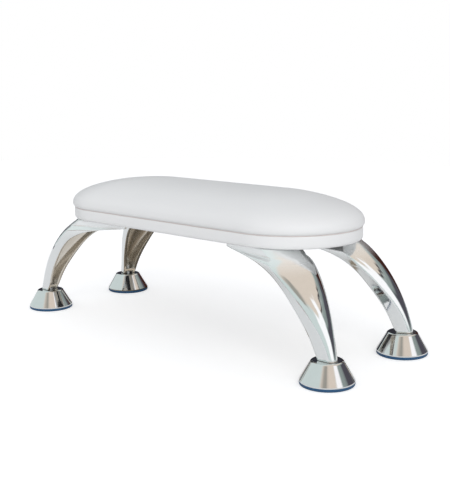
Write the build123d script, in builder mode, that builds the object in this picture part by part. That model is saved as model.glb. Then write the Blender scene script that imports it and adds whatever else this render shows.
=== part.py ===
from build123d import *
import os
from math import asin, cos, pi, radians, sin

# Manicure hand rest: a soft crowned pad on a wrapped board, carried by four chromed horn-shaped legs
# that stand on cone feet which screw in and out to level the rest.
# Millimetres, +X along the pad, +Z up, origin on the floor under the middle of the pad.

# The wrapped board
pad_length = 320
pad_width = 120
underside_height = 97.8
board_thickness = 9
skin = 1
fit_gap = 0.1
edge_rounding = 2
turn_in = 16
lining_gap = 0.5
lining_thickness = 0.6

# The crowned cushion
seam_height = 1
seam_inset = 0.7
cushion_overhang = 2.2
cushion_draw_in = 0.6
bulge_height = 5
roll_steps = 3
crown_height = 23.8
crown_steps = 14
crown_top_angle = 84
crown_roundness = 2.1
crown_ridge_share = 0.06
crown_shortening_share = 0.42
foam_gap = 0.2

# The legs: one hollow casting each, open towards the middle of the rest
foot_spacing_x = 357.8
foot_spacing_y = 104
leg_turn = 12.5
leg_toe_height = 19.1
leg_toe_reach = 9.2
leg_toe_lean = 13
leg_crest_depth = 57
leg_length = 112
leg_width = 44
leg_wall = 2.4
leg_plate_thickness = 3
leg_rim_height = 5.5
leg_floor_thickness = 3.2
leg_floor_recess = 2.4
leg_level_shares = (0, 0.2, 0.4, 0.6, 0.76, 0.87, 0.95, 1)
leg_back_shares = (0.025, 0.087, 0.162, 0.26, 0.365, 0.495, 0.71, 1)
leg_front_width_shares = (0.115, 0.15, 0.235, 0.345, 0.435, 0.485, 0.465, 0.42)
leg_back_width_shares = (0.165, 0.21, 0.28, 0.355, 0.41, 0.435, 0.425, 0.37)
leg_face_bulge_share = 0.6
cut_overrun = 5

# The wood screws that hold each leg
screw_head_diameter = 7.5
screw_shank_diameter = 3.6
screw_length = 11
screw_point_length = 2.5
screw_row_setback = 24
screw_row_spacing = 20
screw_tip_inset = 18
screw_clearance = 0.05
screw_slot_width = 1
screw_slot_length = 4.4
screw_slot_depth = 1.2

# The staples that hold the turned-in edge of the covering
staple_width = 10
staple_leg_length = 6
staple_wire_width = 1.2
staple_wire_thickness = 0.6
staple_inset = 8
staple_spacing = 40
staples_per_side = 5
staples_per_end = 4
staple_end_sweep = 120

# The levelling feet
foot_diameter = 43.2
foot_top_diameter = 25.2
foot_height = 18.8
foot_lip_height = 0.9
foot_shoulder_rounding = 1.8
cup_wall = 1.2
pad_thickness = 2.6
pad_rounding = 0.8
pad_plug_height = 4
pad_boss_diameter = 16
stud_diameter = 6
stud_head_diameter = 10
stud_head_height = 5
foot_travel = 4
stud_spare = 0.6
running_clearance = 0.05

# Levels and half sizes that the sizes above give
half_length = pad_length / 2
half_width = pad_width / 2
straight = half_length - half_width
board_bottom = underside_height + skin
board_top = board_bottom + board_thickness
cushion_bottom = board_top + seam_height
bulge_level = board_top + bulge_height
rim_bottom = underside_height - leg_rim_height
plate_bottom = underside_height - leg_plate_thickness
leg_height = rim_bottom - leg_toe_height
toe_lean = radians(leg_toe_lean)
crest_rise = underside_height - leg_toe_height
crest_swing = leg_crest_depth * cos(toe_lean) - crest_rise * sin(toe_lean)
crest_radius = (crest_rise**2 + leg_crest_depth**2) / (2 * crest_swing)
floor_bottom = leg_toe_height + leg_floor_recess
floor_top = floor_bottom + leg_floor_thickness
cup_ceiling = foot_height - cup_wall
head_top = cup_ceiling - running_clearance
head_bottom = head_top - stud_head_height
boss_top = head_bottom + stud_head_height / 2
stud_end = floor_top + foot_travel + stud_spare

corners = {
    "front_left": (-1, -1),
    "front_right": (1, -1),
    "rear_left": (-1, 1),
    "rear_right": (1, 1),
}

os.makedirs("parts", exist_ok=True)


def corner_plane(corner):
    """Floor plane on a foot's axis, with X pointing outwards along the leg."""
    x_side, y_side = corners[corner]
    return Plane(
        origin=(x_side * foot_spacing_x / 2, y_side * foot_spacing_y / 2, 0),
        x_dir=(x_side * cos(radians(leg_turn)), y_side * sin(radians(leg_turn)), 0),
        z_dir=(0, 0, 1),
    )


def round_ended(half_straight, radius):
    """Draw an outline with straight sides and round ends, each end as two quarter arcs."""
    with BuildLine() as outline:
        Line((-half_straight, -radius), (half_straight, -radius))
        CenterArc((half_straight, 0), radius, -90, 90)
        CenterArc((half_straight, 0), radius, 0, 90)
        Line((half_straight, radius), (-half_straight, radius))
        CenterArc((-half_straight, 0), radius, 90, 90)
        CenterArc((-half_straight, 0), radius, 180, 90)
    make_face(outline.edges())


def crown_sections(inset):
    """Give the cushion's level, half straight length and end radius, from its seam to its ridge."""
    widest = half_width + cushion_overhang - inset
    drawn_in = half_width - cushion_draw_in - inset
    ridge = crown_ridge_share * half_width
    power = 2 / crown_roundness
    sections = []
    for step in range(roll_steps):
        angle = pi / 2 * (1 - step / roll_steps)
        level = bulge_level - (bulge_level - cushion_bottom) * sin(angle)
        sections.append((level, straight, drawn_in + (widest - drawn_in) * cos(angle)))
    for step in range(crown_steps + 1):
        angle = radians(crown_top_angle) * step / crown_steps
        rise = sin(angle) ** power
        shortening = crown_shortening_share * (1 - cos(angle))
        level = bulge_level + rise * (crown_height - inset)
        sections.append((level, straight * (1 - shortening), ridge + (widest - ridge) * cos(angle) ** power))
    return sections


def leg_share(shares, level_share):
    """Read a table of shares at any share of the leg's height."""
    steps = zip(leg_level_shares, leg_level_shares[1:], shares, shares[1:])
    for low, high, low_value, high_value in steps:
        if level_share <= high:
            return low_value + (high_value - low_value) * (level_share - low) / (high - low)
    return shares[-1]


def leg_section(level, wall=0, overrun=0):
    """Draw the leg's flat section at a level, with its walls drawn in and its back pushed out."""
    share = (level - leg_toe_height) / leg_height
    lean = asin(sin(toe_lean) + (level - leg_toe_height) / crest_radius)
    crest = leg_toe_reach - crest_radius * (cos(toe_lean) - cos(lean)) - wall / cos(lean)
    front_width = leg_width * leg_share(leg_front_width_shares, share) - wall
    back_width = leg_width * leg_share(leg_back_width_shares, share) - wall
    corner = crest - leg_face_bulge_share * front_width
    back = -leg_length * leg_share(leg_back_shares, share) - overrun
    with BuildLine() as outline:
        ThreePointArc((corner, -front_width), (crest, 0), (corner, front_width))
        Line((corner, front_width), (back, back_width))
        Line((back, back_width), (back, -back_width))
        Line((back, -back_width), (corner, -front_width))
    make_face(outline.edges())


def screw_planes(place):
    """Planes at one leg's screw heads, facing up into the board."""
    row = leg_toe_reach - leg_crest_depth - screw_row_setback
    spots = (
        (row, screw_row_spacing / 2, plate_bottom),
        (row, -screw_row_spacing / 2, plate_bottom),
        (screw_tip_inset - leg_length, 0, plate_bottom),
    )
    return [Plane(origin=place.from_local_coords(spot), z_dir=(0, 0, 1)) for spot in spots]


def screw_profile(clearance=0):
    """Draw half of a countersunk screw, head down and point up, on the current plane."""
    head = screw_head_diameter / 2 + clearance
    shank = screw_shank_diameter / 2 + clearance
    with BuildLine() as outline:
        Polyline(
            (0, 0),
            (head, 0),
            (shank, head - shank),
            (shank, screw_length - screw_point_length),
            (0, screw_length + clearance),
            close=True,
        )
    make_face(outline.edges())


def staple_places():
    """Give the staples' places round the board, each with X along the edge."""
    inset_width = half_width - staple_inset
    places = []
    for side in (-1, 1):
        for index in range(staples_per_side):
            x = (index - (staples_per_side - 1) / 2) * staple_spacing
            places.append(Location((x, side * inset_width, underside_height)))
        for index in range(staples_per_end):
            angle = staple_end_sweep * (index / (staples_per_end - 1) - 1 / 2)
            x = side * (straight + inset_width * cos(radians(angle)))
            y = inset_width * sin(radians(angle))
            places.append(Location((x, y, underside_height), (0, 0, 90 + side * angle)))
    return places


def staple(clearance=0):
    """Add every staple, crown down and legs up, round the current part."""
    wide = staple_width + 2 * clearance
    thick = staple_wire_width + 2 * clearance
    height = staple_wire_thickness + staple_leg_length + clearance
    leg_offset = (staple_width - staple_wire_thickness) / 2
    leg_thick = staple_wire_thickness + 2 * clearance
    upwards = (Align.CENTER, Align.CENTER, Align.MIN)
    with Locations(*staple_places()):
        Box(wide, thick, staple_wire_thickness + clearance, align=upwards)
        with Locations((-leg_offset, 0, 0), (leg_offset, 0, 0)):
            Box(leg_thick, thick, height, align=upwards)


# Staples, one group
with BuildPart() as cover_staples:
    staple()
cover_staples.part.label = "cover_staples"
export_step(cover_staples.part, "parts/cover_staples.step")

# The same staples with a little room, to open their pockets
with BuildPart() as staple_room:
    staple(screw_clearance)

# The board, with pilot holes for the screws and pockets for the staples
with BuildPart() as base_board:
    with BuildSketch(Plane.XY.offset(board_bottom)):
        round_ended(straight, half_width - skin - fit_gap)
    extrude(amount=board_thickness)
    for corner in corners:
        for screw_plane in screw_planes(corner_plane(corner)):
            with BuildSketch(Plane(screw_plane.origin, screw_plane.x_dir, z_dir=-screw_plane.y_dir)):
                screw_profile(screw_clearance)
            revolve(axis=Axis(screw_plane.origin, (0, 0, 1)), mode=Mode.SUBTRACT)
    add(staple_room.part, mode=Mode.SUBTRACT)
base_board.part.label = "base_board"
export_step(base_board.part, "parts/base_board.step")

# The side band: a strip round the board's edge, turned in under the board
with BuildPart() as side_band:
    with BuildSketch(Plane.XY.offset(underside_height)):
        round_ended(straight, half_width)
    extrude(amount=board_top - underside_height)
    fillet(side_band.faces().sort_by(Axis.Z)[0].edges(), edge_rounding)
    with BuildSketch(Plane.XY.offset(board_bottom)):
        round_ended(straight, half_width - skin)
    extrude(amount=board_thickness, mode=Mode.SUBTRACT)
    with BuildSketch(Plane.XY.offset(underside_height)):
        round_ended(straight, half_width - turn_in)
    extrude(amount=skin, mode=Mode.SUBTRACT)
    for corner in corners:
        for screw_plane in screw_planes(corner_plane(corner)):
            with BuildSketch(screw_plane):
                Circle(screw_shank_diameter / 2 + screw_clearance)
            extrude(amount=screw_length, mode=Mode.SUBTRACT)
    add(staple_room.part, mode=Mode.SUBTRACT)
side_band.part.label = "side_band"
export_step(side_band.part, "parts/side_band.step")

# The lining over the middle of the board's underside, inside the turned-in edge
with BuildPart() as bottom_lining:
    with BuildSketch(Plane.XY.offset(board_bottom - lining_thickness)):
        round_ended(straight, half_width - turn_in - lining_gap)
    extrude(amount=lining_thickness)
    for corner in corners:
        for screw_plane in screw_planes(corner_plane(corner)):
            with BuildSketch(screw_plane):
                Circle(screw_shank_diameter / 2 + screw_clearance)
            extrude(amount=screw_length, mode=Mode.SUBTRACT)
bottom_lining.part.label = "bottom_lining"
export_step(bottom_lining.part, "parts/bottom_lining.step")

# The seam between the band and the top cover, a little way in from both
with BuildPart() as seam_stitching:
    with BuildSketch(Plane.XY.offset(board_top)):
        round_ended(straight, half_width - seam_inset)
    extrude(amount=seam_height)
    with BuildSketch(Plane.XY.offset(board_top)):
        round_ended(straight, half_width - seam_inset - skin)
    extrude(amount=seam_height, mode=Mode.SUBTRACT)
seam_stitching.part.label = "seam_stitching"
export_step(seam_stitching.part, "parts/seam_stitching.step")

# The foam inside the cover, glued to the board
with BuildPart() as foam_pad:
    for level, half_straight, radius in crown_sections(skin + foam_gap):
        with BuildSketch(Plane.XY.offset(level)):
            round_ended(half_straight, radius)
    loft(ruled=True)
    with BuildSketch(Plane.XY.offset(board_top)):
        round_ended(straight, half_width - seam_inset - skin - foam_gap)
    extrude(amount=cushion_bottom - board_top)
foam_pad.part.label = "foam_pad"
export_step(foam_pad.part, "parts/foam_pad.step")

# The top cover: a stretched skin over the foam, smooth outside and in straight steps inside
with BuildPart() as top_cover:
    for level, half_straight, radius in crown_sections(0):
        with BuildSketch(Plane.XY.offset(level)):
            round_ended(half_straight, radius)
    loft()
    for level, half_straight, radius in crown_sections(skin):
        with BuildSketch(Plane.XY.offset(level)):
            round_ended(half_straight, radius)
    loft(ruled=True, mode=Mode.SUBTRACT)
top_cover.part.label = "top_cover"
export_step(top_cover.part, "parts/top_cover.step")

# The legs with their screws and feet
for corner in corners:
    place = corner_plane(corner)

    # The casting: a horn with a rounded face and two side walls, hollow from behind
    with BuildPart() as leg:
        for share in leg_level_shares:
            level = leg_toe_height + share * leg_height
            with BuildSketch(place.offset(level)):
                leg_section(level)
        loft()
        for level in (rim_bottom, underside_height):
            with BuildSketch(place.offset(level)):
                leg_section(level)
        loft()
        hollow_levels = [floor_top]
        hollow_levels += [leg_toe_height + share * leg_height for share in leg_level_shares[1:]]
        hollow_levels += [plate_bottom]
        for level in hollow_levels:
            with BuildSketch(place.offset(level)):
                leg_section(level, leg_wall, cut_overrun)
        loft(mode=Mode.SUBTRACT)
        for level in (leg_toe_height, floor_bottom):
            with BuildSketch(place.offset(level)):
                leg_section(level, leg_wall, cut_overrun)
        loft(mode=Mode.SUBTRACT)
        with BuildSketch(place.offset(floor_bottom)):
            Circle(stud_diameter / 2 + running_clearance)
        extrude(amount=leg_floor_thickness, mode=Mode.SUBTRACT)
        for screw_plane in screw_planes(place):
            with BuildSketch(Plane(screw_plane.origin, screw_plane.x_dir, z_dir=-screw_plane.y_dir)):
                screw_profile(screw_clearance)
            revolve(axis=Axis(screw_plane.origin, (0, 0, 1)), mode=Mode.SUBTRACT)
    leg.part.label = f"leg_{corner}"
    export_step(leg.part, f"parts/{leg.part.label}.step")

    # Its wood screws, one group, with crossed slots in their heads
    with BuildPart() as leg_screws:
        for screw_plane in screw_planes(place):
            with BuildSketch(Plane(screw_plane.origin, screw_plane.x_dir, z_dir=-screw_plane.y_dir)):
                screw_profile()
            revolve(axis=Axis(screw_plane.origin, (0, 0, 1)))
            with BuildSketch(screw_plane):
                Rectangle(screw_slot_length, screw_slot_width)
                Rectangle(screw_slot_width, screw_slot_length)
            extrude(amount=screw_slot_depth, mode=Mode.SUBTRACT)
    leg_screws.part.label = f"leg_screws_{corner}"
    export_step(leg_screws.part, f"parts/{leg_screws.part.label}.step")

    # The foot's stud: a round head under the cup's top and a threaded shank up into the leg
    upright = Plane(origin=place.origin, x_dir=place.x_dir, z_dir=-place.y_dir)
    axis = Axis(place.origin, (0, 0, 1))
    with BuildPart() as foot_stud:
        with BuildSketch(upright):
            with BuildLine():
                Polyline(
                    (0, head_bottom),
                    (stud_head_diameter / 2, head_bottom),
                    (stud_head_diameter / 2, head_top),
                    (stud_diameter / 2, head_top),
                    (stud_diameter / 2, stud_end - stud_diameter / 2),
                )
                CenterArc((0, stud_end - stud_diameter / 2), stud_diameter / 2, 0, 90)
                Line((0, stud_end), (0, head_bottom))
            make_face()
        revolve(axis=axis)
    foot_stud.part.label = f"foot_stud_{corner}"
    export_step(foot_stud.part, f"parts/{foot_stud.part.label}.step")

    # The chromed cup: a cone shell with a rounded shoulder and a hole for the stud
    with BuildPart() as foot_cup:
        with BuildSketch(upright):
            with BuildLine():
                Polyline(
                    (0, pad_thickness),
                    (foot_diameter / 2, pad_thickness),
                    (foot_diameter / 2, pad_thickness + foot_lip_height),
                    (foot_top_diameter / 2, foot_height),
                    (0, foot_height),
                    close=True,
                )
            make_face()
        revolve(axis=axis)
        fillet(foot_cup.faces().sort_by(Axis.Z)[-1].edges(), foot_shoulder_rounding)
        offset(amount=-cup_wall, openings=foot_cup.faces().sort_by(Axis.Z)[0])
        with BuildSketch(place.offset(cup_ceiling)):
            Circle(stud_diameter / 2 + running_clearance)
        extrude(amount=cup_wall, mode=Mode.SUBTRACT)
    foot_cup.part.label = f"foot_cup_{corner}"
    export_step(foot_cup.part, f"parts/{foot_cup.part.label}.step")

    # The blue pad: a disc on the floor, a plug inside the cup and a boss that carries the stud's head
    with BuildPart() as foot_pad:
        with BuildSketch(place):
            Circle(foot_diameter / 2)
        extrude(amount=pad_thickness)
        fillet(foot_pad.faces().sort_by(Axis.Z)[0].edges(), pad_rounding)
        plug_radius = foot_diameter / 2 - cup_wall - fit_gap
        cup_slope = (foot_diameter - foot_top_diameter) / 2 / (foot_height - pad_thickness - foot_lip_height)
        plug_top_radius = plug_radius - cup_slope * pad_plug_height
        with BuildSketch(place.offset(pad_thickness)):
            Circle(plug_top_radius)
        extrude(amount=pad_plug_height)
        with BuildSketch(place.offset(pad_thickness)):
            Circle(pad_boss_diameter / 2)
        extrude(amount=boss_top - pad_thickness)
        with BuildSketch(place.offset(head_bottom - running_clearance)):
            Circle(stud_head_diameter / 2 + running_clearance)
        extrude(amount=stud_head_height, mode=Mode.SUBTRACT)
    foot_pad.part.label = f"foot_pad_{corner}"
    export_step(foot_pad.part, f"parts/{foot_pad.part.label}.step")
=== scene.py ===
import bpy
from math import cos, pi, radians, sin, sqrt
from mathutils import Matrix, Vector, noise


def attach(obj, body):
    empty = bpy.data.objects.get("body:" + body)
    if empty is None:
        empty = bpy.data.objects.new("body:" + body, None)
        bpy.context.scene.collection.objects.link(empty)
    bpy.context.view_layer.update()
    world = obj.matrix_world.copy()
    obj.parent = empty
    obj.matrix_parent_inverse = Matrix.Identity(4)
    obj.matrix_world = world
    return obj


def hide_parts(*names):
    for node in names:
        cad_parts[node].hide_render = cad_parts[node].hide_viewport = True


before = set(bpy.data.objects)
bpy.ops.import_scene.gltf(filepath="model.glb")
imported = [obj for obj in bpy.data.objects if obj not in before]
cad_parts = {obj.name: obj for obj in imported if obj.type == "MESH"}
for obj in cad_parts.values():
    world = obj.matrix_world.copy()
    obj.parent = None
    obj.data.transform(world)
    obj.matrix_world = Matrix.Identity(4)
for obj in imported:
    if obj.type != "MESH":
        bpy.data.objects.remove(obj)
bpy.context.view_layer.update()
scene = bpy.context.scene

# The base board
# A 9 mm plywood board with round ends. It is hidden inside the covering, and everything else is
# glued, stapled or screwed to it.
birch = (0.62, 0.48, 0.33, 1)
glue_line = (0.42, 0.30, 0.19, 1)
ply = 0.0015


class Wire:
    """The output of a shader node. Sums, differences and products of wires add Math nodes."""

    def __init__(self, tree, socket=None):
        self.tree = tree
        self.socket = socket

    def node(self, kind, settings=None, inputs=None, output=0):
        """Add a node of this kind: its settings first, then the values or wires of its inputs."""
        made = self.tree.nodes.new("ShaderNode" + kind)
        for name, value in (settings or {}).items():
            setattr(made, name, value)
        for name, value in (inputs or {}).items():
            if isinstance(value, Wire):
                self.tree.links.new(value.socket, made.inputs[name])
            else:
                made.inputs[name].default_value = value
        return Wire(self.tree, made.outputs[output] if made.outputs else None)

    def maths(self, operation, *others):
        return self.node("Math", {"operation": operation}, dict(enumerate((self, *others))))

    def __add__(self, other):
        return self.maths("ADD", other)

    __radd__ = __add__

    def __sub__(self, other):
        return self.maths("SUBTRACT", other)

    def __rsub__(self, other):
        return self.maths("MULTIPLY", -1) + other

    def __mul__(self, other):
        return self.maths("MULTIPLY", other)

    __rmul__ = __mul__

    def parts(self):
        """The x, y and z of this vector."""
        return [self.node("SeparateXYZ", {}, {"Vector": self}, axis) for axis in range(3)]

    def between(self, low, high):
        """Rise smoothly from 0 at low to 1 at high."""
        settings = {"interpolation_type": "SMOOTHSTEP"}
        return self.node("MapRange", settings, {"Value": self, "From Min": low, "From Max": high})

    def blend(self, first, second):
        """Go from the first colour to the second as this wire goes from 0 to 1."""
        return self.node("Mix", {"data_type": "RGBA"}, {0: self, 6: first, 7: second}, 2)

    def mottle(self, scale, detail=2.0, rough=0.5):
        """Cloudy noise from 0 to 1 over this place, with so many lumps to the metre."""
        inputs = {"Vector": self, "Scale": scale, "Detail": detail, "Roughness": rough}
        return self.node("TexNoise", {}, inputs)

    def relief(self, depth, strength=1.0, under=None):
        """Turn this height, from 0 to 1, into a surface relief so many metres deep."""
        inputs = {"Height": self, "Distance": depth, "Strength": strength}
        if under is not None:
            inputs["Normal"] = under
        return self.node("Bump", {}, inputs)


def finish(name, look):
    """Make a material. The look is given the place on the piece in metres, as a wire."""
    material = bpy.data.materials.new(name)
    material.use_nodes = True
    material.node_tree.nodes.clear()
    start = Wire(material.node_tree)
    surface = start.node("BsdfPrincipled", {}, look(start.node("TexCoord", output="Object")))
    start.node("OutputMaterial", {}, {"Surface": surface})
    return material


def coat(name, material):
    """Give a CAD node its material."""
    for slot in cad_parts[name].material_slots:
        slot.material = material


def plywood_look(place):
    _, _, height = place.parts()
    layers = (height * (pi / ply)).maths("SINE") * 0.5 + 0.5
    grain = place.mottle(240, 5, 0.6)
    return {
        "Base Color": (layers * 0.5 + grain * 0.5).blend(birch, glue_line),
        "Roughness": grain * 0.25 + 0.6,
        "Normal": grain.relief(0.00015, 0.4),
    }


coat("base_board", finish("plywood", plywood_look))

# The foam
# A crowned block of cream open-cell foam, cut with round ends to match the board. It is glued on
# top of the board and lies wholly under the cover.
half_straight = 0.1
board_top = 0.1078
seam_level = 0.1088
seam_radius = 0.0594
pad_radius = 0.0622
roll_height = 0.004
roll_steps = 4
crown_height = 0.0238
crown_power = 2 / 2.1
ridge_radius = 0.0036
ridge_length = 0.58
foam_inset = 0.0032
foam_base_radius = 0.0555
foam_cream = (0.90, 0.86, 0.66, 1)
foam_shade = (0.78, 0.72, 0.50, 1)


def stations(per_side):
    """Places round the outline: the share of the half straight, and the way out in x and y."""
    found = []
    for side in (1, -1):
        for step in range(per_side):
            angle = pi * (step / per_side - side / 2)
            found.append((side, cos(angle), sin(angle)))
        for step in range(per_side):
            found.append((side * (1 - 2 * step / per_side), 0, side))
    return found


def hoop(straight, radius, height, per_side=48):
    """One ring of points: straight sides with round ends, at one height."""
    return [(x * straight + a * radius, b * radius, height) for x, a, b in stations(per_side)]


def crown(inset, crown_steps):
    """Rings of the pad from its seam, over a small roll and up to the ridge, drawn in by inset."""
    widest = pad_radius - inset
    drawn_in = seam_radius - inset
    rings = []
    for step in range(roll_steps):
        angle = pi / 2 * step / roll_steps
        height = seam_level + roll_height * (1 - cos(angle))
        rings.append(hoop(half_straight, drawn_in + (widest - drawn_in) * sin(angle), height))
    for step in range(crown_steps + 1):
        angle = pi / 2 * step / crown_steps
        straight = half_straight * (ridge_length + (1 - ridge_length) * cos(angle))
        radius = ridge_radius + (widest - ridge_radius) * max(cos(angle), 0) ** crown_power
        height = seam_level + roll_height + (crown_height - inset) * sin(angle) ** crown_power
        rings.append(hoop(straight, radius, height))
    return rings


def lid(first, count):
    """Strips across a ring of points, from the tip of one round end to the tip of the other."""
    tip = count // 8
    strips = []
    for step in range(count // 2):
        corners = (tip + step, tip + step + 1, tip - step - 1, tip - step)
        strips.append(list(dict.fromkeys(first + corner % count for corner in corners)))
    return strips


def sew(name, rings, joined=False):
    """Make a closed skin over rings of points, the last joined to the first or both ends capped."""
    count = len(rings[0])
    faces = []
    for low in range(len(rings) if joined else len(rings) - 1):
        high = (low + 1) % len(rings)
        for step in range(count):
            after = (step + 1) % count
            below, above = low * count, high * count
            faces.append((below + step, below + after, above + after, above + step))
    if not joined:
        faces += [strip[::-1] for strip in lid(0, count)]
        faces += lid((len(rings) - 1) * count, count)
    mesh = bpy.data.meshes.new(name)
    mesh.from_pydata([point for ring in rings for point in ring], [], faces)
    mesh.shade_smooth()
    piece = bpy.data.objects.new(name, mesh)
    scene.collection.objects.link(piece)
    return piece


def dress(piece, material, body="rest"):
    """Give a new piece its material, and let it ride on a body."""
    piece.data.materials.append(material)
    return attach(piece, body)


def foam_look(place):
    settings = {"feature": "SMOOTH_F1"}
    cells = place.node("TexVoronoi", settings, {"Vector": place, "Scale": 1400, "Smoothness": 0.3})
    return {
        "Base Color": cells.blend(foam_shade, foam_cream),
        "Roughness": cells * 0.1 + 0.85,
        "Normal": cells.relief(0.0003, 0.6),
    }


foam_base = [hoop(half_straight, foam_base_radius, board_top)]
foam = sew("foam", foam_base + crown(foam_inset, 12))
dress(foam, finish("cream_foam", foam_look))
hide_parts("foam_pad")

# The cushion
# Soft white imitation leather stretched over the foam, sewn to the band all round its lower edge.
# The stuffing swells it until the seam holds it back, which leaves faint puckers just above the
# seam.
cushion_start_inset = 0.0003
cushion_base_radius = 0.055
cushion_swell = 0.0008
swell_moments = 20
sewn_height = 0.0025
ridge_foot = 0.131
ridge_rise = 0.004
pucker_depth = 0.00022
pucker_height = 0.005
pucker_reach = 0.009
white = (0.87, 0.87, 0.865, 1)
# The darker white, used for random cloudiness and for painted shade in the crease valleys.
off_white_and_crease_shade = (0.83, 0.83, 0.83, 1)


def leather_look(place):
    """Fine pebbled grain, creases with painted shade in their valleys, faint cloudiness in colour
    and gloss.
    """
    settings = {"feature": "SMOOTH_F1"}
    inputs = {"Vector": place, "Scale": 1100, "Smoothness": 0.6}
    pebbles = place.node("TexVoronoi", settings, inputs)
    creases = place.mottle(420, 4, 0.6)
    clouds = place.mottle(24, 3)
    creased = creases.relief(0.00012, 0.35)
    return {
        # Painted shade: the colour darkens in the crease valleys, over a random cloudiness of tone.
        "Base Color": (clouds * 0.6 + creases * 0.4).blend(off_white_and_crease_shade, white),
        "Roughness": clouds * 0.14 + creases * 0.08 + 0.40,
        "Normal": pebbles.relief(0.00008, 0.35, creased),
        "Specular IOR Level": 0.42,
        "Sheen Weight": 0.08,
        "Sheen Roughness": 0.4,
    }


leather = finish("white_leather", leather_look)
cushion_base = [hoop(half_straight, cushion_base_radius, seam_level)]
cushion = sew("cushion", cushion_base + crown(cushion_start_inset, 20))
loose = cushion.vertex_groups.new(name="loose")
sewn = cushion.vertex_groups.new(name="sewn")
for vertex in cushion.data.vertices:
    group = loose if vertex.co.z > seam_level + sewn_height else sewn
    group.add([vertex.index], 1, "REPLACE")
before = [(vertex.co.copy(), vertex.normal.copy()) for vertex in cushion.data.vertices]
cloth = cushion.modifiers.new("swell", "CLOTH")
cloth.settings.vertex_group_mass = "sewn"
cloth.settings.use_pressure = True
cloth.settings.uniform_pressure_force = 4
cloth.settings.effector_weights.gravity = 0
cloth.point_cache.frame_start = 1
cloth.point_cache.frame_end = swell_moments
for moment in range(1, swell_moments + 1):
    scene.frame_set(moment)
with bpy.context.temp_override(object=cushion):
    bpy.ops.object.modifier_apply(modifier="swell")
scene.frame_set(1)
for vertex, (origin, outwards) in zip(cushion.data.vertices, before):
    swell = min(max((vertex.co - origin).dot(outwards), 0), cushion_swell)
    near_ridge = min(max((origin.z - ridge_foot) / ridge_rise, 0), 1)
    swell += (cushion_swell - swell) * near_ridge
    vertex.co = origin + outwards * swell
settle = cushion.modifiers.new("settle", "SMOOTH")
settle.factor = 0.5
settle.iterations = 3
settle.vertex_group = "loose"
with bpy.context.temp_override(object=cushion):
    bpy.ops.object.modifier_apply(modifier="settle")
for vertex in cushion.data.vertices:
    spot = Vector((vertex.co.x, vertex.co.y, 0))
    near_seam = max(0, 1 - abs(vertex.co.z - seam_level - pucker_height) / pucker_reach)
    wave = noise.noise(spot * 110) + 0.8 * noise.noise(spot * 40)
    vertex.co += vertex.normal * pucker_depth * near_seam * wave
finer = cushion.modifiers.new("finer", "SUBSURF")
finer.levels = finer.render_levels = 1
cushion.data.shade_smooth()
dress(cushion, leather)
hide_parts("top_cover")

# The side band
# A strip of the same leather, sewn to the cushion along its top edge, pulled down round the board's
# edge and turned in under it. Round the ends the turned-in part lies in small radial pleats.
half_width = 0.06
band_puff = 0.00014
band_ripple = 0.00006
tuck_levels = (0.0975, 0.0983)
tuck_start = 0.0015
tuck_length = 0.0145
tuck_ripple = 0.00008
tuck_lowest = 0.09782
pleat_height = 0.0005
pleat_rate = 10
band_outline = (
    (-0.0016, 0.1084), (-0.0008, 0.1084), (-0.0003, 0.1082), (0.0000, 0.1077), (0.0002, 0.1066),
    (0.0003, 0.1040), (0.0003, 0.1015), (0.0002, 0.0997), (-0.0001, 0.0988), (-0.0007, 0.0982),
    (-0.0016, 0.0979), (-0.0040, 0.0979), (-0.0070, 0.0980), (-0.0100, 0.0981), (-0.0130, 0.0981),
    (-0.0158, 0.0981), (-0.0160, 0.0984), (-0.0158, 0.0987), (-0.0100, 0.0987), (-0.0040, 0.0987),
    (-0.0015, 0.0990), (-0.0011, 0.1010), (-0.0011, 0.1040), (-0.0012, 0.1072),
)
band_rings = []
for out, height in band_outline:
    ring = []
    tucked = tuck_levels[0] < height < tuck_levels[1]
    for x, a, b in stations(120):
        spot = Vector((x * half_straight + a * half_width, b * half_width, height * 2))
        puff = band_puff * noise.noise(spot * 24) + band_ripple * noise.noise(spot * 80)
        lift = 0
        if tucked and out < -tuck_start:
            inward = (-out - tuck_start) / tuck_length
            lift = tuck_ripple * noise.noise(spot * 60)
            if a:
                round_end = Vector((a, b)).angle_signed(Vector((1, 0)))
                pleat = abs(sin(pleat_rate * round_end + 2 * noise.noise(spot * 9)))
                lift += pleat_height * inward * (1 - pleat) ** 2
        reach = half_width + out + (0 if tucked else puff)
        ring.append((x * half_straight + a * reach, b * reach, max(height + lift, tuck_lowest)))
    band_rings.append(ring)
band = sew("band", band_rings, joined=True)
dress(band, leather)
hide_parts("side_band")

# The seam
# The cushion and the band are sewn face to face, which leaves a narrow sunken fold between them.
# Pale thread shows faintly in it as short, even stitches.
# The fold is coloured with the thread's tan, darker than the leather: painted shade in the sunken
# groove.
stitch_length = 0.004
stitch_level = 0.1085
stitch_sides = 6
stitch_sunk = 0.0003
stitch_proud = 0.0002
thread_thin = 0.00008
thread_swell = 0.00016
# The thread's tan, which also lies on the sunken fold as painted shade.
thread_tan_and_groove_shade = (0.76, 0.70, 0.68, 1)
thread_shade = (0.66, 0.59, 0.57, 1)


def thread_and_groove_shade_look(place):
    strands = place.mottle(2600, 3, 0.7)
    return {
        "Base Color": strands.blend(thread_shade, thread_tan_and_groove_shade),
        "Roughness": strands * 0.2 + 0.65,
        "Normal": strands.relief(0.00006, 0.5),
        "Sheen Weight": 0.2,
    }


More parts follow.
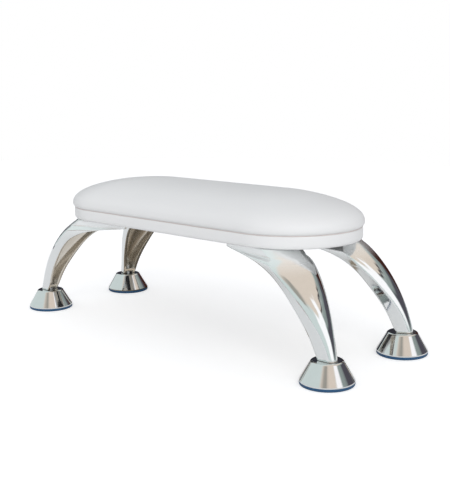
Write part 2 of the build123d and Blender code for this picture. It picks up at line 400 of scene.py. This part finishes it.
thread = finish("seam_thread", thread_and_groove_shade_look)
fold_outline = (
    (-0.0020, 0.1080), (-0.0004, 0.1080), (-0.0001, 0.1085), (-0.0004, 0.1090), (-0.0020, 0.1090),
)
fold_rings = [hoop(half_straight, half_width + out, level, 96) for out, level in fold_outline]
# The fold wears the thread's tan: painted shade in the groove between cushion and band.
fold = sew("seam_fold", fold_rings, joined=True)
dress(fold, thread)
stitch_rings = [[] for _ in range(stitch_sides)]
travelled = 0
last = None
for x, a, b in stations(260):
    spot = Vector((x * half_straight + a * half_width, b * half_width, 0))
    travelled += (spot - last).length if last else 0
    last = spot
    raised = abs(sin(pi * travelled / stitch_length)) ** 0.5
    thick = thread_thin + thread_swell * raised
    reach = half_width - stitch_sunk + stitch_proud * raised
    for side, ring in enumerate(stitch_rings):
        turn = 2 * pi * side / stitch_sides
        out = reach + thick * cos(turn)
        ring.append((x * half_straight + a * out, b * out, stitch_level + thick * sin(turn)))
stitches = sew("seam_stitches", stitch_rings, joined=True)
dress(stitches, thread)
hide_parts("seam_stitching")

# The staples
# Bright steel wire staples, bent to a square U. A staple gun drives them up through the turned-in
# edge of the leather into the board, all the way round.
zinc = (0.66, 0.67, 0.69, 1)
zinc_dull = (0.50, 0.51, 0.53, 1)


def steel_look(place):
    """Zinc-plated steel: a mottled, slightly dull plating with fine scratches."""
    patches = place.mottle(500, 4, 0.6)
    scratches = place.mottle(3000, 2, 0.7)
    return {
        "Base Color": patches.blend(zinc_dull, zinc),
        "Metallic": 1.0,
        "Roughness": patches * 0.18 + scratches * 0.1 + 0.22,
        "Normal": scratches.relief(0.00003, 0.3),
    }


steel = finish("zinc_steel", steel_look)
coat("cover_staples", steel)

# The bottom lining
# Thin black non-woven dust cloth, cut a little smaller than the board and glued over its middle to
# hide the raw edge of the leather. It bellies down slightly between the glued places.
lining_radius = 0.0435
lining_level = 0.0987
lining_sag = 0.00045
lining_thickness = 0.00008
lining_black = (0.020, 0.020, 0.022, 1)
lining_worn = (0.045, 0.045, 0.048, 1)


def lining_look(place):
    dots = place.node("TexVoronoi", {}, {"Vector": place, "Scale": 900})
    fibres = place.mottle(1500, 4, 0.7)
    return {
        "Base Color": (dots * 0.5 + fibres * 0.5).blend(lining_black, lining_worn),
        "Roughness": fibres * 0.15 + 0.8,
        "Normal": (dots * 0.6 + fibres * 0.4).relief(0.0001, 0.5),
    }


lining_rings = []
for share in (0.1, 0.2, 0.3, 0.4, 0.5, 0.6, 0.7, 0.8, 0.9, 0.97, 1):
    ring = []
    for x, y, _ in hoop(half_straight, lining_radius * share, 0, 48):
        slack = min((1 - share) * share * 4 + 0.3, 1)
        ripple = noise.noise(Vector((x, y, 0)) * 30) + 0.4 * noise.noise(Vector((x, y, 1)) * 90)
        ring.append((x, y, lining_level - lining_sag * slack * (0.6 + 0.5 * ripple)))
    lining_rings.append(ring)
lining_back = lining_level + lining_thickness
lining_backs = [[(x, y, lining_back) for x, y, _ in ring] for ring in lining_rings[::-1]]
lining = sew("lining", lining_rings + lining_backs)
dress(lining, finish("black_dust_cloth", lining_look))
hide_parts("bottom_lining")

# The legs
# Four hollow horn-shaped castings, open towards the middle, polished and chromed all over. The
# plate is brightest on the outer faces. Inside the horn it is painted beige-grey as painted shade
# and reflection, and towards the top rim it is painted pale as painted light. The casting under it
# leaves slow waves in what they reflect.
foot_x = 0.1789
foot_y = 0.052
leg_turn = radians(12.5)
chrome_tint = (0.82, 0.84, 0.84, 1)
chrome_haze = (0.77, 0.79, 0.79, 1)
# Painted shade and reflection: the beige-grey base colour inside the horn.
hollow_painted_shade = (0.78, 0.73, 0.65, 1)
# Painted light: a paler base colour towards the top rim.
rim_painted_light = (0.90, 0.92, 0.92, 1)


def chrome_look(place):
    """Mirror plate. Duller with painted shade inside the horn, and softly towards its top rim
    duller with painted light.
    """
    x, y, z = place.parts()
    normal = place.node("NewGeometry", output="True Normal")
    normal_x, normal_y, normal_z = normal.parts()
    outwards_x = normal_x * x.maths("SIGN")
    outwards_y = normal_y * y.maths("SIGN")
    past_foot_x = x.maths("ABSOLUTE") - foot_x
    past_foot_y = y.maths("ABSOLUTE") - foot_y
    aside = past_foot_y * cos(leg_turn) - past_foot_x * sin(leg_turn)
    facing_side = outwards_y * cos(leg_turn) - outwards_x * sin(leg_turn)
    facing_out = outwards_x * cos(leg_turn) + outwards_y * sin(leg_turn)
    outer_wall = (aside * facing_side).between(-0.0025, -0.0005)
    outer_face = facing_out.between(-0.30, -0.20) * normal_z.between(-0.65, -0.55)
    crest = (facing_out + normal_z).between(0.35, 0.5)
    inside = (1 - outer_wall * outer_face) * (1 - crest)
    rim = z.between(0.078, 0.092)
    waves = place.mottle(38, 2, 0.4)
    haze = place.mottle(300, 4, 0.6)
    scratches = place.mottle(2400, 2, 0.7)
    rounded = place.node("Bevel", {"samples": 8}, {"Radius": 0.002})
    # Random haze in the plate, and towards the rim a pale colour that is painted light.
    plating_and_rim_light = rim.blend(haze.blend(chrome_haze, chrome_tint), rim_painted_light)
    return {
        # Inside the horn the base colour is painted beige-grey: painted shade and reflection.
        "Base Color": inside.blend(plating_and_rim_light, hollow_painted_shade),
        "Metallic": 1 - inside * 0.15 - rim * 0.35,
        "Roughness": haze * 0.05 + scratches * 0.04 + inside * 0.14 + rim * 0.13 + 0.02,
        "Normal": waves.relief(0.0012, 0.35, rounded),
    }


chrome = finish("bright_chrome", chrome_look)
corners = [end + "_" + side for end in ("front", "rear") for side in ("left", "right")]
for corner in corners:
    coat("leg_" + corner, chrome)

# The leg screws
# Zinc-plated countersunk wood screws with a cross slot. Three go up through each leg's top plate
# into the board.
for corner in corners:
    coat("leg_screws_" + corner, steel)

# The foot pads
# Dark blue rubber, moulded with a plug that is pushed up into each cup. Its disc stands on the
# table and keeps the rest from sliding.
rubber_blue = (0.006, 0.058, 0.150, 1)
rubber_dusty = (0.020, 0.088, 0.185, 1)


def rubber_look(place):
    dust = place.mottle(160, 4, 0.6)
    pores = place.mottle(2200, 2, 0.6)
    return {
        "Base Color": dust.blend(rubber_blue, rubber_dusty),
        "Roughness": dust * 0.15 + pores * 0.08 + 0.38,
        "Normal": pores.relief(0.00004, 0.3),
    }


rubber = finish("blue_rubber", rubber_look)
for corner in corners:
    coat("foot_pad_" + corner, rubber)

# The cups
# Cone shells pressed from steel sheet and chromed, with a rounded shoulder. Each sits over its pad
# and turns with it.
plated_tint = (0.79, 0.80, 0.80, 1)
plated_haze = (0.74, 0.75, 0.75, 1)


def plated_look(place):
    haze = place.mottle(220, 3, 0.5)
    scratches = place.mottle(2800, 2, 0.7)
    return {
        "Base Color": haze.blend(plated_haze, plated_tint),
        "Metallic": 1.0,
        "Roughness": haze * 0.05 + scratches * 0.05 + 0.03,
        "Normal": scratches.relief(0.00001, 0.25),
    }


plated = finish("plated_cup", plated_look)
for corner in corners:
    coat("foot_cup_" + corner, plated)

# The studs
# M6 studs with a round head held between the pad's boss and the cup's top. The thread screws into
# the leg's floor, so that turning a foot raises or lowers its corner.
thread_pitch = 0.001
thread_root = 0.0025
thread_crest = 0.003
shank_foot = 0.01756
shank_rings = 94
rings_per_turn = 8
stud_top = 0.0293
stud_tip_radius = 0.0001
stud_sides = 32
stud_head = ((0.0046, 0.01255), (0.005, 0.01295), (0.005, 0.01715), (0.0046, 0.01755))


def stud_outline():
    """Radius and height up the stud: the head with its edges broken, then the shank's rings."""
    rise = thread_pitch / rings_per_turn
    shank = [(thread_crest, shank_foot + step * rise) for step in range(shank_rings)]
    return list(stud_head) + shank


for corner in corners:
    rings = []
    for radius, height in stud_outline():
        ring = []
        for step in range(stud_sides):
            turn = 2 * pi * step / stud_sides
            reach = radius
            if height > shank_foot:
                cut = abs((height / thread_pitch - step / stud_sides) % 1 - 0.5) * 2
                reach -= (thread_crest - thread_root) * cut
                above_round = max(height - stud_top + thread_crest, 0)
                round_end = sqrt(max(thread_crest**2 - above_round**2, stud_tip_radius**2))
                reach = min(reach, round_end)
            ring.append((reach * cos(turn), reach * sin(turn), height))
        rings.append(ring)
    stud = sew("stud_" + corner, rings)
    stud.location.x = foot_x if corner.endswith("right") else -foot_x
    stud.location.y = foot_y if corner.startswith("rear") else -foot_y
    dress(stud, plated, "stud_" + corner)
    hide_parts("foot_stud_" + corner)

# The table and the light
# A plain white table under an even white sky, with one very wide soft lamp low on the camera's
# side. The chrome alone mirrors a room: two bright windows, pale walls that turn beige higher up,
# darker corners, and a table top with a painted brown shadow under the rest.
room_sage = (0.71, 0.795, 0.785, 1)
room_beige = (0.83, 0.72, 0.625, 1)
room_shelf = (0.40, 0.38, 0.34, 1)
room_mauve = (0.090, 0.085, 0.105, 1)
room_moss = (0.31, 0.36, 0.35, 1)
room_maroon = (0.055, 0.018, 0.014, 1)
room_corner = (0.035, 0.035, 0.045, 1)
room_window = (1.20, 1.18, 1.20, 1)
room_rust = (0.26, 0.13, 0.10, 1)
sky_grey = (0.61, 0.62, 0.64, 1)
sky_white = (1, 1, 1, 1)
table_white = (0.80, 0.80, 0.80, 1)
table_shade = (0.78, 0.78, 0.78, 1)
table_shadow_beige = (0.30, 0.25, 0.19, 1)
table_shadow_olive = (0.050, 0.038, 0.020, 1)
table_straight = 0.5
table_radius = 1.5
table_thickness = 0.01
glow_seen = 0.47
glow_mirrored = 0.23
lamp_strength = 1.27
lamp_spread = radians(50)
lamp_side = Vector((0.69, -0.60, 0.36))

table_rings = [hoop(table_straight, table_radius, level) for level in (-table_thickness, 0)]
table = sew("table", table_rings)
table.data.shade_flat()


def zone(wire, low, high, soft):
    """A soft-edged band: 1 where this wire lies between two values."""
    return wire.between(low - soft, low + soft) * (1 - wire.between(high - soft, high + soft))


def emit(nodes, colour):
    return nodes.node("Emission", {}, {"Color": colour})


def rays(nodes):
    """Where the camera sees this itself, and where it sees this in something that shines."""
    return [nodes.node("LightPath", output=kind) for kind in ("Is Camera Ray", "Is Glossy Ray")]


table_paint = bpy.data.materials.new("white_table")
table_paint.use_nodes = True
table_paint.node_tree.nodes.clear()
table_nodes = Wire(table_paint.node_tree)
seen, mirror = rays(table_nodes)
table_place = table_nodes.node("TexCoord", output="Object")
along, across, _ = table_place.parts()
paint_colour = table_place.mottle(60, 3).blend(table_white, table_shade)
paint = table_nodes.node("BsdfDiffuse", {}, {"Color": paint_colour})
glow = emit(table_nodes, seen * glow_seen + mirror * glow_mirrored)
bright = table_nodes.node("AddShader", {}, {0: paint, 1: glow})
from_middle = table_nodes.node("VectorMath", {"operation": "LENGTH"}, {0: table_place}, "Value")
away = from_middle + table_place.mottle(6, 2) * 0.2
# Painted shadow, for mirror rays only: under the rest the table is beige to the front and olive to
# the back.
brown = across.between(-0.01, 0.07).blend(table_shadow_beige, table_shadow_olive)
mirrored_table = away.between(1.0, 1.1).blend(brown, room_mauve)
shadow_patch = zone(along, -0.20, 0.02, 0.03) * zone(across, -0.01, 0.20, 0.02)
ragged = table_place.mottle(70, 3).between(0.42, 0.52)
# A ragged dark streak in the painted shadow under the rest.
streak = zone(along, 0.09, 0.11, 0.006) * zone(across, -0.07, 0.02, 0.02) * ragged
# Where mirror rays see the table painted dark: the painted shadow under the rest, the streak, and
# far off.
painted_shadow_and_far_mask = (shadow_patch + streak + away.between(1.3, 1.4)) * mirror
dark = emit(table_nodes, mirrored_table)
table_top = table_nodes.node("MixShader", {}, {0: painted_shadow_and_far_mask, 1: bright, 2: dark})
table_nodes.node("OutputMaterial", {}, {"Surface": table_top})
table.data.materials.append(table_paint)

world = bpy.data.worlds.new("studio")
scene.world = world
world.use_nodes = True
world.node_tree.nodes.clear()
world_nodes = Wire(world.node_tree)
way = world_nodes.node("TexCoord", output="Generated")
east, north, up = way.parts()
upright = world_nodes.node("VectorMath", {"operation": "MULTIPLY"}, {0: way, 1: (1, 1, 0.35)})
streaks = upright.mottle(5, 2) - 0.5
bearing = north.maths("ARCTAN2", east) + streaks * 0.35
climb = up.maths("ARCSINE") + streaks * 0.2
walls = (zone(bearing, -1.45, 1.6, 0.2) * climb.between(0.56, 0.66)).blend(room_sage, room_beige)
# Each lies over those before it: its colour, its bearing from, to and how softly, then its climb
# from, to and how softly, in radians.
room = (
    (room_shelf, -1.3, -0.9, 0.15, 0.50, 0.84, 0.03),
    (room_moss, 0.30, 1.6, 0.15, -0.1, 0.62, 0.08),
    (room_corner, 0.30, 1.2, 0.1, 0.62, 0.66, 0.02),
    (room_mauve, 0.25, 1.6, 0.2, 0.06, 0.42, 0.06),
    (room_maroon, 1.5, 2.15, 0.06, -0.1, 0.62, 0.04),
    (room_corner, 2.1, 2.95, 0.05, -0.1, 0.42, 0.04),
    (room_rust, -2.3, -1.55, 0.05, -0.1, 0.10, 0.02),
    (room_window, -0.15, 0.30, 0.05, 0.50, 0.86, 0.04),
    (room_window, -0.62, 0.17, 0.04, 0.05, 0.60, 0.04),
)
for colour, left, right, side_soft, low, high, edge_soft in room:
    there = zone(bearing, left, right, side_soft) * zone(climb, low, high, edge_soft)
    walls = there.blend(walls, colour)
seen, mirror = rays(world_nodes)
sky = seen.blend(mirror.blend(sky_grey, walls), sky_white)
background = world_nodes.node("Background", {}, {"Color": sky})
world_nodes.node("OutputWorld", {}, {"Surface": background})

lamp = bpy.data.objects.new("soft_lamp", bpy.data.lights.new("soft_lamp", "SUN"))
scene.collection.objects.link(lamp)
lamp.data.energy = lamp_strength
lamp.data.angle = lamp_spread
lamp.visible_glossy = False
lamp.rotation_euler = lamp_side.to_track_quat("Z", "Y").to_euler()

# The camera
# It stands off the front right corner, a little above the cushion, and leans very slightly. Its
# lens is slightly long, so that the far feet look only a little smaller.
camera = bpy.data.objects.new("camera", bpy.data.cameras.new("camera"))
scene.collection.objects.link(camera)
scene.camera = camera
camera.location = (0.5761, -0.5761, 0.2298)
camera.rotation_euler = (radians(79.044), radians(0.661), radians(43.749))
camera.data.sensor_width = 36
camera.data.lens = 63.87
scene.view_settings.view_transform = "Standard"
